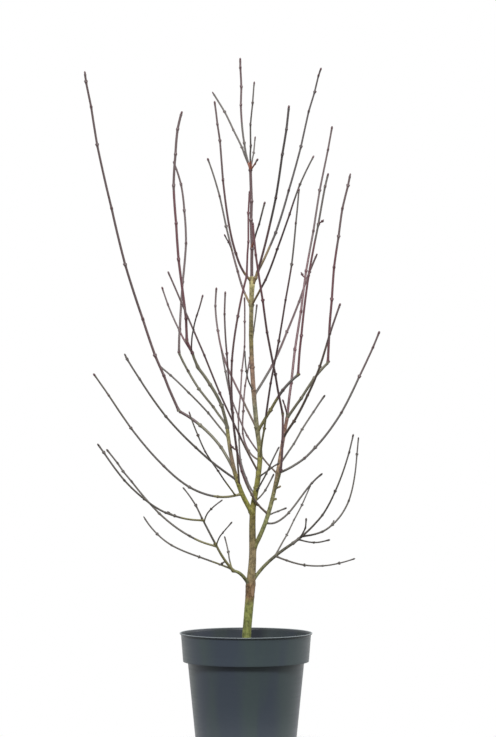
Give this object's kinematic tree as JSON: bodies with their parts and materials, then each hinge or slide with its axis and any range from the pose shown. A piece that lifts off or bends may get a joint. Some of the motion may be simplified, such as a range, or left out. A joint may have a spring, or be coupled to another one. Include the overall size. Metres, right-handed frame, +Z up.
{
  "type": "potted japanese maple, bare in winter",
  "caption": "Young bare japanese maple: a slender trunk, forked boughs and masses of long upright twigs, standing in a round plastic nursery pot with a deep collar.",
  "frame": {"origin": "middle of the pot's flat underside", "axes": "+Z up through the pot and the trunk, +X to the right of the plant's front view, +Y from its front to its back"},
  "size_m": [0.5074, 0.4077, 1.1801],
  "materials": {
    "slate_plastic": "satin",
    "bark_compost": "matte",
    "trunk_bark": "matte",
    "bough_bark": "satin",
    "olive_twigs": "satin",
    "grey_twigs": "satin",
    "maroon_twigs": "satin",
    "coral_twigs": "satin"
  },
  "bodies": {
    "root": {"pot": "slate_plastic", "compost": "bark_compost", "trunk": "trunk_bark", "bough_left": "bough_bark", "bough_right": "bough_bark", "bough_low_left": "bough_bark", "bough_low_right": "bough_bark", "twigs_leader": "coral_twigs", "twigs_top_left": "maroon_twigs", "twigs_top_right": "maroon_twigs", "twigs_whorl_left": "maroon_twigs", "twigs_whorl_right": "maroon_twigs", "twigs_inner_right": "maroon_twigs", "twigs_inner_spur": "grey_twigs", "twigs_arm_right": "olive_twigs", "twigs_inner_left": "maroon_twigs", "twigs_front_right": "olive_twigs", "twigs_back_middle": "maroon_twigs", "twigs_mid_left": "maroon_twigs", "twigs_mid_right": "grey_twigs", "twigs_low_fork": "grey_twigs", "twigs_back_left": "maroon_twigs", "twigs_hook": "grey_twigs", "twigs_reach_left": "olive_twigs", "twigs_wing_left": "grey_twigs", "twigs_tall_left": "olive_twigs", "twigs_behind_left": "grey_twigs", "twigs_crown_left": "maroon_twigs", "twigs_strand_left": "maroon_twigs", "twigs_strand_right": "maroon_twigs", "twigs_scoop_right": "grey_twigs", "twigs_low_spur": "grey_twigs", "twigs_sway_right": "olive_twigs", "twigs_back_right": "maroon_twigs", "twigs_reach_right": "olive_twigs", "twigs_behind_right": "grey_twigs", "twigs_wing_right": "olive_twigs", "twigs_crown_right": "maroon_twigs", "twigs_low_left": "grey_twigs", "twigs_low_right": "grey_twigs", "twigs_low_reach": "grey_twigs", "twigs_low_upright": "grey_twigs"}
  },
  "joints": []
}
